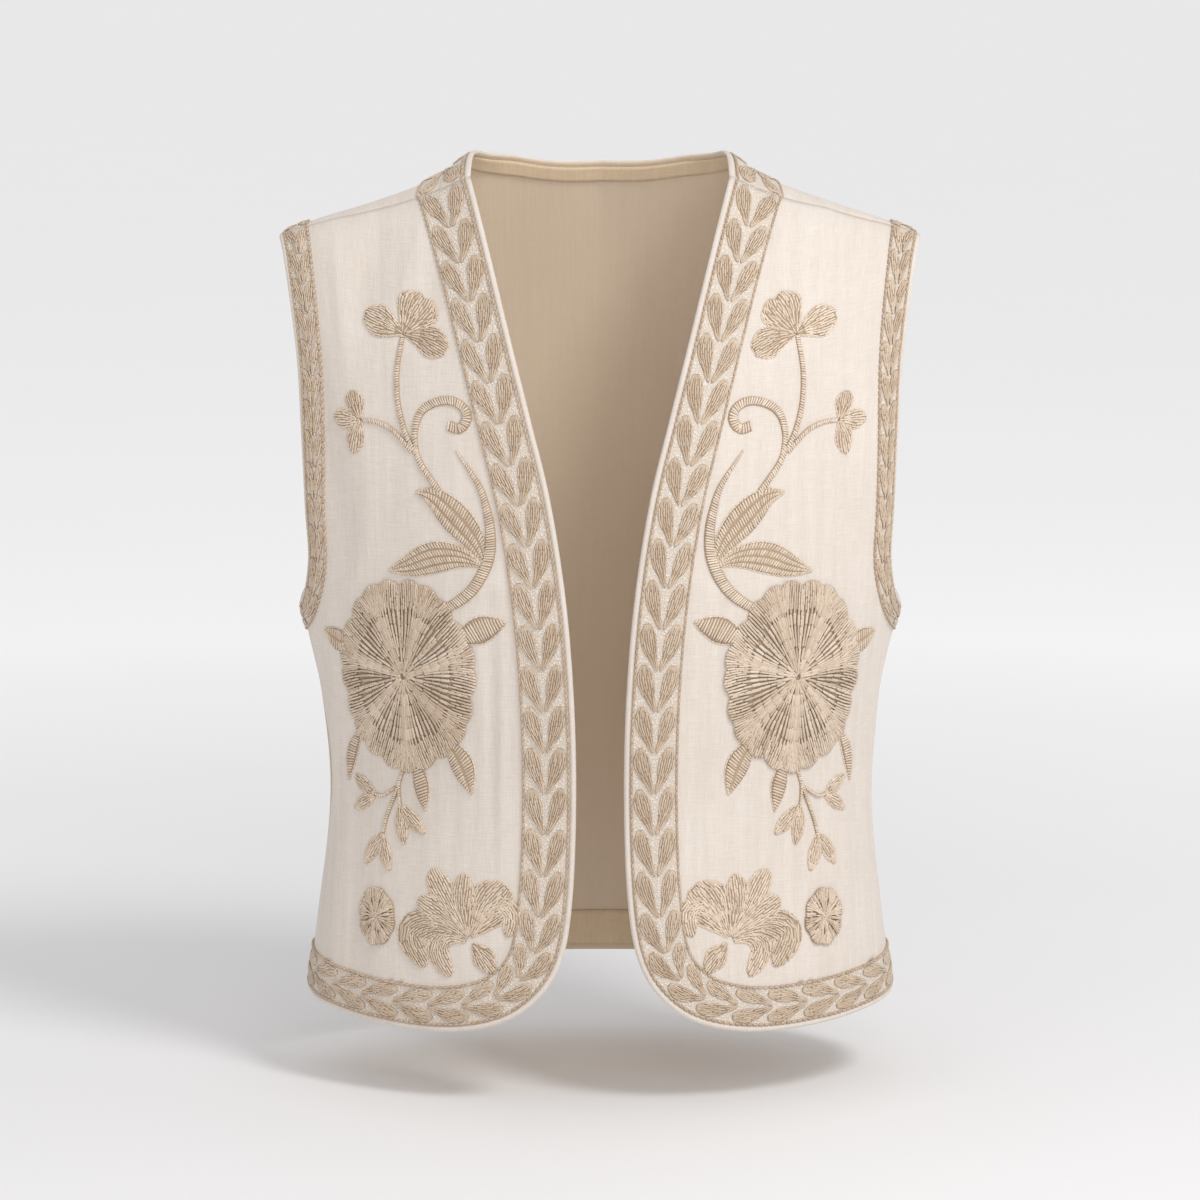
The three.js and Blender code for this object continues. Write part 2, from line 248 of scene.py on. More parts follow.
def relief(across, level, face):
    """How far the creases and the slow waves of the cloth lift its surface."""
    total = 0.22 * np.sin(across / 17.0 + 0.9 * np.sin(level / 61.0))
    total = total + 0.18 * np.sin(across / 9.1 + 1.3 + level / 140.0)
    total = total + 0.25 * np.sin(level / 47.0 + across / 83.0)
    for side, x0, l0, x1, l1, width, height in CREASES:
        if side != face:
            continue
        dx, dl = x1 - x0, l1 - l0
        length = math.hypot(dx, dl)
        u = ((across - x0) * dx + (level - l0) * dl) / length**2
        bow = 0.5 * width * np.sin(3.1 * u + x0)
        away = ((across - x0) * dl - (level - l0) * dx) / length + bow
        ends = np.clip(u + 0.25, 0, 1) * np.clip(1.25 - u, 0, 1)
        ends = np.where((u > -0.25) & (u < 1.25), ends, 0) * 2.2
        total = total + height * np.exp(-((away / width) ** 2)) * ends**1.5
    return total


def on_cloth(across, level, face, lift):
    """Points on the draped cloth, raised off it by a lift."""
    across, level = np.asarray(across, float), np.asarray(level, float)
    rise = np.asarray(lift, float) + relief(across, level, face)
    return place(across, level, face) + outward(across, level, face) * rise[..., None]


# --------------------------------------------------------- grids of a pattern
def curve(rows, count=240):
    """Smooth curve through rows: its points, evenly spaced, and its length."""
    knots = np.asarray(rows, float)
    padded = np.vstack([knots[:1], knots, knots[-1:]])
    t = np.linspace(0, 1, 17)[:-1, None]
    parts = []
    for a, b, c, d in zip(padded, padded[1:], padded[2:], padded[3:]):
        va, vb = (c - a) / 2, (d - b) / 2
        parts.append(
            (2 * b - 2 * c + va + vb) * t**3 + (-3 * b + 3 * c - 2 * va - vb) * t**2 + va * t + b
        )
    points = np.vstack(parts + [knots[-1:]])
    gone = np.concatenate([[0], np.cumsum(np.linalg.norm(np.diff(points, axis=0), axis=1))])
    even = np.linspace(0, gone[-1], count + 1)
    return np.stack([np.interp(even, gone, points[:, k]) for k in (0, 1)], -1), gone[-1]


class Path:
    """A smooth line on the pattern, read by the share of its length."""

    def __init__(self, rows):
        self.points, self.length = curve(rows)
        step = np.gradient(self.points, axis=0)
        self.tangents = step / np.linalg.norm(step, axis=1, keepdims=True)
        self.shares = np.linspace(0, 1, len(self.points))

    def at(self, share):
        return np.stack([np.interp(share, self.shares, self.points[:, k]) for k in (0, 1)], -1)

    def tangent(self, share):
        t = np.stack([np.interp(share, self.shares, self.tangents[:, k]) for k in (0, 1)], -1)
        return t / np.linalg.norm(t, axis=-1, keepdims=True)

    def beside(self, share, depth):
        t = self.tangent(share)
        return self.at(share) + np.stack([-t[..., 1], t[..., 0]], -1) * np.asarray(depth)[..., None]


def on_shoulder(p, face):
    return np.array([p[0], float(shoulder_seam(p[0], face))])


def on_side(p, face):
    return np.array([float(side_seam(p[1], face)), p[1]])


def on_centre(p, face):
    return np.array([0.0, p[1]])


class Strip:
    """Cloth beside an edge, read by share of the edge and depth from it."""

    def __init__(self, table, inward, face, snap_start, snap_end):
        self.edge = Path(table)
        self.inward, self.face = inward, face
        self.snap_start, self.snap_end = snap_start, snap_end
        self.length = self.edge.length

    def row(self, shares, depths):
        shares, depths = np.broadcast_arrays(np.asarray(shares, float), np.asarray(depths, float))
        shape = shares.shape
        shares, depths = shares.ravel(), depths.ravel()
        points = self.edge.beside(shares, self.inward * depths)
        knots = np.linspace(0, 60, 31)
        ends = ((0.0, self.snap_start, shares), (1.0, self.snap_end, 1 - shares))
        for share, snap, gone in ends:
            firsts = self.edge.beside(np.full(31, share), self.inward * knots)
            shifts = np.array([snap(p, self.face) - p for p in firsts])
            shift = np.stack([np.interp(depths, knots, shifts[:, k]) for k in (0, 1)], -1)
            fade = np.maximum(0, 1 - gone * self.length / SEAM_REACH) ** 2
            points = points + shift * fade[:, None]
        return points.reshape(shape + (2,))


def opening_depth(share, depth):
    """Depth in the opening's strip, which narrows from the front to the hem."""
    turned = np.clip((share - CORNER + 0.1) / 0.2, 0, 1)
    eased = turned**2 * (3 - 2 * turned)
    full = FRONT_BAND + (HEM_BAND - FRONT_BAND) * eased
    part = (depth - ROLLED_EDGE) / (FRONT_BAND - ROLLED_EDGE)
    return np.where(depth <= ROLLED_EDGE, depth, ROLLED_EDGE + part * (full - ROLLED_EDGE))


opening = Strip(OPENING_EDGE, 1, FRONT, on_shoulder, on_side)
front_armhole = Strip(FRONT_ARMHOLE, -1, FRONT, on_shoulder, on_side)
neck = Strip(BACK_NECK, 1, BACK, on_shoulder, on_centre)
back_armhole = Strip(BACK_ARMHOLE, -1, BACK, on_shoulder, on_side)
hem = Strip(BACK_HEM, 1, BACK, on_centre, on_side)

# Cells along each stretch, as in the plain model, and how many times finer.
FINE = 6
SIDE_CELLS, ARMHOLE_CELLS, FRONT_HEM_CELLS = 8 * FINE, 14 * FINE, 9 * FINE
RISE_CELLS = SIDE_CELLS + ARMHOLE_CELLS
SHOULDER_CELLS, YOKE_CELLS, NAPE_CELLS = 6 * FINE, 4 * FINE, 5 * FINE
BACK_CELLS = NAPE_CELLS + SHOULDER_CELLS

opening_shares = np.concatenate(
    [
        np.linspace(0, CORNER, RISE_CELLS + 1),
        np.linspace(CORNER, 1, FRONT_HEM_CELLS + 1)[1:],
    ]
)
armhole_shares = np.linspace(0, 1, ARMHOLE_CELLS + 1)
neck_shares = np.linspace(0, 1, YOKE_CELLS + NAPE_CELLS + 1)
hem_shares = np.linspace(0, 1, BACK_CELLS + 1)

# depth from the edge, outer face, inner face: the rolled edge of a panel
ROLL = (
    (0.0, -0.75, -0.85),
    (0.25, -0.1, -1.45),
    (0.7, 0.55, -1.8),
    (1.4, 0.95, -2.0),
    (2.2, 0.95, -2.0),
    (2.9, 0.6, -1.8),
    (3.4, 0.12, -1.6),
    (3.8, 0.0, -1.6),
)


def strip_grid(strip, shares, depths, narrow=None):
    """Grid of a strip: across, level, and the depth from the edge."""
    rows = []
    for depth in depths:
        real = np.full_like(shares, depth) if narrow is None else narrow(shares, depth)
        rows.append(np.column_stack([strip.row(shares, real), np.full_like(shares, depth)]))
    return np.array(rows)


def rim(strip, shares, width, step, narrow=None):
    """Grid of a panel's strip, with its depth kept for the rolled edge."""
    flat_from = ROLL[-1][0]
    inner = np.linspace(flat_from, width, max(2, round((width - flat_from) / step)) + 1)[1:]
    return strip_grid(strip, shares, np.concatenate([[r[0] for r in ROLL], inner]), narrow)


def fill(bottom, top, left, right):
    """Grid that fills four edges."""
    u = np.linspace(0, 1, len(bottom))[None, :, None]
    v = np.linspace(0, 1, len(left))[:, None, None]
    grid = bottom[None] * (1 - v) + top[None] * v + left[:, None] * (1 - u) + right[:, None] * u
    grid = grid - bottom[0] * (1 - u) * (1 - v) - bottom[-1] * u * (1 - v)
    return grid - top[0] * (1 - u) * v - top[-1] * u * v


def straight(start, end, count):
    t = np.linspace(0, 1, count + 1)[:, None]
    return start * (1 - t) + end * t


def snapped(points, snap, face):
    moved = [np.append(snap(p[:2], face), p[2]) for p in points]
    return np.array(moved)


def front_grids():
    rim_opening = rim(opening, opening_shares, FRONT_BAND, 4.0, opening_depth)
    rim_armhole = rim(front_armhole, armhole_shares, ARMHOLE_BAND, 4.0)
    a, b = rim_opening[-1], rim_armhole[-1]
    middle = fill(
        a[RISE_CELLS:],
        snapped(straight(a[0], b[0], FRONT_HEM_CELLS), on_shoulder, FRONT),
        a[: RISE_CELLS + 1][::-1],
        np.vstack([snapped(straight(a[-1], b[-1], SIDE_CELLS), on_side, FRONT), b[::-1][1:]]),
    )
    return [rim_opening, rim_armhole, middle]


def back_grids():
    rim_neck = rim(neck, neck_shares, FRONT_BAND, 4.0)
    rim_armhole = rim(back_armhole, armhole_shares, ARMHOLE_BAND, 4.0)
    rim_hem = rim(hem, hem_shares, HEM_BAND, 4.0)
    a, b, c = rim_neck[-1], rim_armhole[-1], rim_hem[-1]
    yoke_line = straight(a[YOKE_CELLS], b[YOKE_CELLS], SHOULDER_CELLS)
    yoke = fill(
        yoke_line,
        snapped(straight(a[0], b[0], SHOULDER_CELLS), on_shoulder, BACK),
        a[: YOKE_CELLS + 1][::-1],
        b[: YOKE_CELLS + 1][::-1],
    )
    middle = fill(
        c,
        np.vstack([a[YOKE_CELLS:][::-1], yoke_line[1:]]),
        straight(c[0], a[-1], RISE_CELLS - YOKE_CELLS),
        np.vstack(
            [
                snapped(straight(c[-1], b[-1], SIDE_CELLS), on_side, BACK),
                b[YOKE_CELLS:-1][::-1],
            ]
        ),
    )
    return [rim_neck, rim_armhole, rim_hem, yoke, middle]


# ------------------------------------------------------------------- meshing
def new_object(name, points, faces, material, uv=None, shade=None):
    mesh = bpy.data.meshes.new(name)
    faces = np.asarray(faces, np.int32)
    size = faces.shape[1]
    mesh.vertices.add(len(points))
    mesh.vertices.foreach_set("co", (np.asarray(points) * MM).astype(np.float32).ravel())
    mesh.loops.add(faces.size)
    mesh.loops.foreach_set("vertex_index", faces.ravel())
    mesh.polygons.add(len(faces))
    mesh.polygons.foreach_set("loop_start", np.arange(0, faces.size, size, dtype=np.int32))
    mesh.update(calc_edges=True)
    mesh.validate()
    mesh.shade_smooth()
    if uv is not None:
        layer = mesh.uv_layers.new(name="pattern")
        index = np.empty(len(mesh.loops), np.int32)
        mesh.loops.foreach_get("vertex_index", index)
        layer.data.foreach_set("uv", (np.asarray(uv)[index] * 0.01).astype(np.float32).ravel())
    if shade is not None:
        layer = mesh.attributes.new("shade", "FLOAT", "POINT")
        layer.data.foreach_set("value", np.asarray(shade, np.float32))
    mesh.materials.append(material)
    piece = bpy.data.objects.new(name, mesh)
    bpy.context.scene.collection.objects.link(piece)
    return piece


def joined(grids, both=False):
    """Points of all the grids, each once, and the four-cornered cells on them."""
    known, points, cells = {}, [], []
    for grid in grids:
        index = np.empty(grid.shape[:2], np.int32)
        for j in range(grid.shape[0]):
            for i in range(grid.shape[1]):
                x, y, d = grid[j, i]
                key = (round(x * 500), round(y * 500))
                if key not in known:
                    known[key] = len(points)
                    points.append((x, y, d))
                index[j, i] = known[key]
        corners = [index[:-1, :-1], index[:-1, 1:], index[1:, 1:], index[1:, :-1]]
        cells.append(np.stack(corners, -1).reshape(-1, 4))
    points, cells = np.array(points), np.vstack(cells)
    if both:
        off = points[:, 0] > 0.01
        other = np.where(off, len(points) + np.cumsum(off) - 1, np.arange(len(points)))
        mirror = points[off] * (-1, 1, 1)
        cells = np.vstack([cells, other[cells][:, ::-1]])
        points = np.vstack([points, mirror])
    return points, cells


def shell(name, grids, face, side, outer, inner, material, both=False):
    """Closed shell of cloth between two lifts, and the area of its outer face."""
    points, cells = joined(grids, both)
    if side < 0:
        points = points * (-1, 1, 1)
    a, b, c = (points[cells[:, k], :2] for k in range(3))
    turn = (b[:, 0] - a[:, 0]) * (c[:, 1] - a[:, 1]) - (b[:, 1] - a[:, 1]) * (c[:, 0] - a[:, 0])
    skin = np.where((turn * face < 0)[:, None], cells, cells[:, ::-1])
    count = len(points)
    top = on_cloth(points[:, 0], points[:, 1], face, outer(points[:, 2]))
    under = on_cloth(points[:, 0], points[:, 1], face, inner(points[:, 2]))
    edges = np.vstack([skin[:, [k, (k + 1) % 4]] for k in range(4)])
    code = edges[:, 0].astype(np.int64) * count + edges[:, 1]
    back = edges[:, 1].astype(np.int64) * count + edges[:, 0]
    rims = edges[~np.isin(code, back)]
    walls = np.column_stack([rims[:, 1], rims[:, 0], rims[:, 0] + count, rims[:, 1] + count])
    faces = np.vstack([skin, skin[:, ::-1] + count, walls])
    uv = np.vstack([points[:, :2], points[:, :2]])
    piece = new_object(name, np.vstack([top, under]), faces, material, uv)
    p, q, r, s = (top[skin[:, k]] for k in range(4))
    area = 0.5 * np.linalg.norm(np.cross(r - p, s - q), axis=1).sum()
    return piece, area * MM * MM


def rolled(column):
    table = np.array(ROLL)
    return lambda depth: np.interp(depth, table[:, 0], table[:, column])


# ----------------------------------------------------------------- materials
class Nodes:
    def __init__(self, name):
        self.material = bpy.data.materials.new(name)
        self.material.use_nodes = True
        self.tree = self.material.node_tree
        self.shader = self.tree.nodes["Principled BSDF"]

    def add(self, kind, links=None, **values):
        node = self.tree.nodes.new(kind)
        for key, value in values.items():
            setattr(node, key, value)
        for socket, source in (links or {}).items():
            self.set(node.inputs[socket], source)
        return node

    def set(self, socket, source):
        if isinstance(source, bpy.types.NodeSocket):
            self.tree.links.new(source, socket)
        else:
            socket.default_value = source

    def mix(self, factor, a, b):
        node = self.add("ShaderNodeMix", data_type="RGBA")
        for socket, value in zip((0, 6, 7), (factor, a, b)):
            self.set(node.inputs[socket], value)
        return node.outputs[2]

    def math(self, operation, a, b=0.0):
        node = self.add("ShaderNodeMath", operation=operation)
        self.set(node.inputs[0], a)
        self.set(node.inputs[1], b)
        return node.outputs[0]

    def noise(self, vector, scale, detail=3.0, rough=0.55):
        links = {"Vector": vector, "Scale": scale, "Detail": detail, "Roughness": rough}
        return self.add("ShaderNodeTexNoise", links).outputs["Fac"]

    def stretched(self, vector, scale):
        links = {"Vector": vector, "Scale": scale}
        return self.add("ShaderNodeMapping", links).outputs["Vector"]

    def between(self, value, low, high, to_low=0.0, to_high=1.0):
        links = {"Value": value, 1: low, 2: high, 3: to_low, 4: to_high}
        return self.add("ShaderNodeMapRange", links).outputs["Result"]

    def bump(self, height, strength, distance, normal=None):
        links = {"Height": height, "Strength": strength, "Distance": distance}
        if normal is not None:
            links["Normal"] = normal
        return self.add("ShaderNodeBump", links).outputs["Normal"]


def rgb(r, g, b):
    """Colour from its eight-bit screen values."""
    linear = [c / 12.92 / 255 if c < 10.3 else ((c / 255 + 0.055) / 1.055) ** 2.4 for c in (r, g, b)]
    return (*linear, 1.0)


def linen(name, light, dark, sheen=0.25, inner=None):
    """Plain-woven slubbed linen: uneven warp and weft, with faint streaks. Given an inner colour,
    faces turned forward or down get painted shade.
    """
    n = Nodes(name)
    uv = n.add("ShaderNodeUVMap", uv_map="pattern").outputs["UV"]
    warp = n.noise(n.stretched(uv, (150.0, 9.0, 1.0)), 1.0, 2.0)
    weft = n.noise(n.stretched(uv, (8.0, 140.0, 1.0)), 1.0, 2.0)
    slub = n.noise(n.stretched(uv, (16.0, 0.9, 1.0)), 1.0, 3.0)
    cloud = n.noise(uv, 2.2, 3.0)
    weave = n.math("ADD", warp, weft)
    tone = n.between(weave, 0.7, 1.3)
    tone = n.math("ADD", n.math("MULTIPLY", tone, 0.4), n.math("MULTIPLY", slub, 0.55))
    tone = n.math("ADD", tone, n.math("MULTIPLY", cloud, 0.25))
    colour = n.mix(n.between(tone, 0.3, 0.9), dark, light)
    if inner:
        # The inner side, which faces forward or down, is painted a darker, warmer tone: painted shade
        # and warm bounced light of the hollow.
        facing_way = n.add("ShaderNodeSeparateXYZ")
        n.set(facing_way.inputs[0], n.add("ShaderNodeNewGeometry").outputs["True Normal"])
        up_or_back = n.math("ADD", facing_way.outputs["Y"], facing_way.outputs["Z"])
        painted_inner_shade = n.mix(n.between(tone, 0.3, 0.9, 0.0, 0.25), inner, light)
        colour = n.mix(n.between(up_or_back, -0.5, -0.2), painted_inner_shade, colour)
    n.set(n.shader.inputs["Base Color"], colour)
    n.shader.inputs["Roughness"].default_value = 0.88
    n.shader.inputs["Specular IOR Level"].default_value = 0.25
    n.shader.inputs["Sheen Weight"].default_value = sheen
    n.shader.inputs["Sheen Roughness"].default_value = 0.5
    fine = n.bump(weave, 0.35, 0.00035)
    n.set(n.shader.inputs["Normal"], n.bump(slub, 0.5, 0.0008, fine))
    return n.material


def granular(name, light, dark):
    """Ground of the bands, filled with small pale seed stitches."""
    n = Nodes(name)
    uv = n.add("ShaderNodeUVMap", uv_map="pattern").outputs["UV"]
    bent = n.mix(0.02, uv, n.add("ShaderNodeTexNoise", {"Vector": uv, "Scale": 30.0}).outputs["Color"])
    seeds = n.add("ShaderNodeTexVoronoi", {"Vector": bent, "Scale": 72.0, "Randomness": 0.85})
    near = seeds.outputs["Distance"]
    grain = n.between(near, 0.1, 0.62, 1.0, 0.0)
    speckle = n.noise(uv, 140.0, 2.0)
    tone = n.math("ADD", n.math("MULTIPLY", grain, 0.75), n.math("MULTIPLY", speckle, 0.45))
    n.set(n.shader.inputs["Base Color"], n.mix(n.between(tone, 0.25, 0.95), dark, light))
    n.shader.inputs["Roughness"].default_value = 0.8
    n.shader.inputs["Sheen Weight"].default_value = 0.2
    n.set(n.shader.inputs["Normal"], n.bump(tone, 0.8, 0.0009))
    return n.material


def thread(name, light, dark, rough):
    """Softly shining embroidery thread, a little different in each stitch; the tone set per stitch
    also carries painted light and painted sheen.
    """
    n = Nodes(name)
    shade = n.add("ShaderNodeAttribute", attribute_name="shade").outputs["Fac"]
    where = n.add("ShaderNodeTexCoord").outputs["Object"]
    fray = n.noise(where, 900.0, 2.0)
    tone = n.math("ADD", n.math("MULTIPLY", shade, 0.85), n.math("MULTIPLY", fray, 0.15))
    n.set(n.shader.inputs["Base Color"], n.mix(n.between(tone, 0.1, 0.95), dark, light))
    n.set(n.shader.inputs["Roughness"], n.between(fray, 0.3, 0.7, rough - 0.06, rough + 0.08))
    n.shader.inputs["Specular IOR Level"].default_value = 0.5
    n.shader.inputs["Sheen Weight"].default_value = 0.15
    n.set(n.shader.inputs["Normal"], n.bump(fray, 0.25, 0.0002))
    return n.material


LINEN = linen("linen", rgb(231, 221, 211), rgb(213, 201, 189))
# The back's inner colour is painted shade of the hollow inside the waistcoat.
BACK_LINEN = linen("linen_back", rgb(231, 221, 211), rgb(213, 201, 189), inner=rgb(220, 200, 174))
# The facing's linen is painted warmer than the outer linen: painted shade of the hollow inside the
# back.
FACING = linen("linen_facing", rgb(230, 208, 178), rgb(212, 189, 158))
GROUND = granular("band_ground", rgb(248, 241, 233), rgb(216, 201, 184))
THREAD = thread("thread", rgb(243, 226, 206), rgb(186, 162, 136), 0.42)
# Dark colour of the pads under the stitches: painted shade, seen in the gaps between stitches.
PAINTED_SHADE_UNDERLAY = linen("underlay_painted_shade", rgb(190, 167, 141), rgb(168, 145, 119), 0.1)

# -------------------------------------------------------------------- panels

def panel(name, grids, face, side, both=False):
    cloth = LINEN if face == FRONT else BACK_LINEN
    piece, area = shell("cloth_" + name, grids, face, side, rolled(1), rolled(2), cloth, both)
    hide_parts(name)
    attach(piece, "root")


front = front_grids()
back = back_grids()
panel("front_left", front, FRONT, 1)
panel("front_right", front, FRONT, -1)
panel("back", back, BACK, 1, both=True)

# Lifts of a band off its panel: its face, its edges and its underside.
BAND_TOP, BAND_EDGE, BAND_UNDER = 0.75, 0.35, 0.05
# How far in from its edges a band reaches its full lift.
BAND_BEVEL = 1.2


def band(name, grid, face, side, both=False):
    near, far = grid[0, 0, 2], grid[-1, 0, 2]

    def outer(depth):
        edge = np.minimum(depth - near, far - depth)
        return BAND_EDGE + (BAND_TOP - BAND_EDGE) * np.clip(edge / BAND_BEVEL, 0, 1)

    def inner(depth):
        return BAND_UNDER + 0 * depth

    piece, area = shell("cloth_" + name, [grid], face, side, outer, inner, GROUND, both)
    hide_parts(name)
    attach(piece, "root")



def band_depths(near, far, inset, count):
    """Depths of a band's rows: close at its bevelled edges, even between."""
    bevel = np.array([0, 0.5, 1]) * BAND_BEVEL
    return np.concatenate(
        [near + bevel, np.linspace(near + inset, far - inset, count), far - bevel[::-1]]
    )


wide_depths = band_depths(ROLLED_EDGE, FRONT_BAND, 2.3, 8)
arm_depths = band_depths(ARMHOLE_EDGE, ARMHOLE_BAND, 2.5, 5)
hem_depths = band_depths(ROLLED_EDGE, HEM_BAND, 2.3, 7)
opening_grid = strip_grid(opening, opening_shares, wide_depths, opening_depth)
front_arm_grid = strip_grid(front_armhole, armhole_shares, arm_depths)
back_arm_grid = strip_grid(back_armhole, armhole_shares, arm_depths)
neck_grid = strip_grid(neck, neck_shares, wide_depths)
hem_grid = strip_grid(hem, hem_shares, hem_depths)
for side, word in ((1, "left"), (-1, "right")):
    band("front_band_" + word, opening_grid, FRONT, side)
    band("armhole_band_front_" + word, front_arm_grid, FRONT, side)
    band("armhole_band_back_" + word, back_arm_grid, BACK, side)
band("back_neck_band", neck_grid, BACK, 1, both=True)
band("back_hem_band", hem_grid, BACK, 1, both=True)


FACING_GAP, FACING_WALL = 0.1, 0.9


def facing(name, grid):
    """Facing turned to the inside of the back."""
    def outer(depth):
        return -PANEL - FACING_GAP + 0 * depth

    def inner(depth):
        return outer(depth) - FACING_WALL

    piece, area = shell("cloth_" + name, [grid], BACK, 1, outer, inner, FACING, both=True)
    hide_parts(name)
    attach(piece, "root")


facing("back_neck_facing", strip_grid(neck, neck_shares, np.linspace(3.9, 14.3, 6)))
facing("back_hem_facing", strip_grid(hem, hem_shares, np.linspace(3.9, HEM_BAND, 8)))

# ---------------------------------------------------------------- embroidery
rng = np.random.default_rng(11)

# Section of a thread: how far across and how high, then its rings along it.
THREAD_SECTION = ((-1.0, -0.1), (-0.5, 0.85), (0.5, 0.85), (1.0, -0.1))
THREAD_RINGS = ((0.2, 1.0), (0.8, 1.0))


def solid_faces(rings, around):
    """Triangles of a closed spindle: a tip, rings of points, and a tip."""
    faces = []
    last = 1 + rings * around
    for k in range(around):
        m = (k + 1) % around
        faces.append((0, 1 + m, 1 + k))
        for r in range(rings - 1):
            a, b = 1 + r * around, 1 + (r + 1) * around
            faces += [(a + k, a + m, b + m), (a + k, b + m, b + k)]
        end = 1 + (rings - 1) * around
        faces.append((end + k, end + m, last))
    return np.array(faces)


# Turns a row of a Threads table over to the other side of the body.
OTHER_SIDE = (-1, 1, -1, 1, 1, 1, 1, 1)


class Threads:
    """Stitches of one piece, each a small rounded length of thread."""

    def __init__(self):
        self.parts = []

    def lay(self, start, end, width, height=0.5, lift=0.15, shade=0.5):
        start, end = np.atleast_2d(start), np.atleast_2d(end)
        block = np.empty((len(start), 8))
        block[:, 0:2], block[:, 2:4] = start, end
        for k, value in enumerate((width, height, lift, shade)):
            block[:, 4 + k] = value
        self.parts.append(block)

    def build(self, name, face, side, material):
        every = np.vstack(self.parts)
        if side < 0:
            every = every * OTHER_SIDE
        start, end = every[:, 0:2], every[:, 2:4]
        width, height, lift, shade = (every[:, k] for k in range(4, 8))
        run = end - start
        along = run / np.maximum(np.linalg.norm(run, axis=1, keepdims=True), 1e-6)
        beside = np.column_stack([-along[:, 1], along[:, 0]])
        middle = (start + end) / 2
        normal = outward(middle[:, 0], middle[:, 1], face)
        rise = relief(middle[:, 0], middle[:, 1], face) + lift
        rings = [place(start[:, 0], start[:, 1], face) + normal * (rise + 0.1 * height)[:, None]]
        for t, full in THREAD_RINGS:
            for across, up in THREAD_SECTION:
                p = start + run * t - beside * (across * full * width / 2)[:, None]
                rings.append(
                    place(p[:, 0], p[:, 1], face) + normal * (rise + up * height)[:, None]
                )
        rings.append(place(end[:, 0], end[:, 1], face) + normal * (rise + 0.1 * height)[:, None])
        points = np.stack(rings, 1)
        count = points.shape[1]
        spindle = solid_faces(len(THREAD_RINGS), len(THREAD_SECTION))
        if face == FRONT:
            spindle = spindle[:, ::-1]
        faces = spindle[None] + (np.arange(len(points)) * count)[:, None, None]
        shades = np.repeat(shade, count)
        return new_object(
            name, points.reshape(-1, 3), faces.reshape(-1, 3), material, shade=shades
        )


class Pads:
    """Low pads of thread under the stitches, as one piece; their dark colour is painted shade in the
    gaps between stitches.
    """

    def __init__(self):
        self.points, self.faces, self.count = [], [], 0

    def grid(self, cloth, lift, face, side):
        """Closed pad over a grid of points of the pattern."""
        rows, columns = cloth.shape[:2]
        x, l = cloth[..., 0].ravel() * side, cloth[..., 1].ravel()
        normal = outward(x, l, face)
        rise = relief(x, l, face)
        base = place(x, l, face)
        lift = lift.ravel()
        top = base + normal * (rise + lift)[:, None]
        under = base + normal * (rise + np.minimum(lift - 0.05, 0.0))[:, None]
        index = np.arange(rows * columns).reshape(rows, columns)
        a, b = index[:-1, :-1].ravel(), index[:-1, 1:].ravel()
        c, d = index[1:, 1:].ravel(), index[1:, :-1].ravel()
        corner = cloth.reshape(-1, 2) * (side, 1)
        mid = len(a) // 2
        p, q, r = corner[a[mid]], corner[b[mid]], corner[c[mid]]
        turn = (q[0] - p[0]) * (r[1] - p[1]) - (q[1] - p[1]) * (r[0] - p[0])
        skin = np.column_stack([a, b, c, d])
        if turn * face > 0:
            skin = skin[:, ::-1]
        edges = np.vstack([skin[:, [k, (k + 1) % 4]] for k in range(4)])
        n = rows * columns
        code = edges[:, 0].astype(np.int64) * n + edges[:, 1]
        rims = edges[~np.isin(code, edges[:, 1].astype(np.int64) * n + edges[:, 0])]
        walls = np.column_stack([rims[:, 1], rims[:, 0], rims[:, 0] + n, rims[:, 1] + n])
        self.faces.append(np.vstack([skin, skin[:, ::-1] + n, walls]) + self.count)
        self.points += [top, under]
        self.count += 2 * n
        return self

    def build(self, name, material):
        points = np.vstack(self.points)
        return new_object(name, points, np.vstack(self.faces), material, uv=points[:, [0, 2]])


class Shape:
    """A filled shape about an axis, with its half width on either side.

    Its far end is rounded off, and may be notched like a heart."""

    def __init__(self, axis, widths, dome=0.7, blunt=0.0, notch=0.0, via=None):
        self.axis, self.dome, self.blunt, self.notch = Path(axis), dome, blunt, notch
        self.widths = np.array([(w + (w[-1],))[:3] for w in widths], float)
        self.via = via or (lambda p: p)
        self.length = self.axis.length

    def half(self, u, v):
        left, right = read(self.widths, 1, u), read(self.widths, 2, u)
        return np.maximum(np.where(v > 0, left, right), 0.02)

    def at(self, u, v):
        u, v = np.broadcast_arrays(np.asarray(u, float), np.asarray(v, float))
        far = u * (1 - self.blunt * v**2 - self.notch * np.exp(-((v / 0.22) ** 2)))
        return self.via(self.axis.beside(far, v * self.half(u, v)))

    def lift(self, u, v):
        return self.dome * (1 - 0.85 * v**2) * np.sqrt(np.clip(4 * u * (1.08 - u), 0, 1))

    def span(self, u):
        return self.half(u, 1.0) + self.half(u, -1.0)


def pad_under(pads, shape, face, side, ground, fine=3.0):
    """A low pad that fills the shape."""
    nu = max(5, int(shape.length / fine))
    u, v = np.meshgrid(np.linspace(0.01, 0.99, nu), np.linspace(-0.93, 0.93, 7), indexing="ij")
    pads.grid(shape.at(u, v), ground + 0.1 + shape.lift(u, v), face, side)


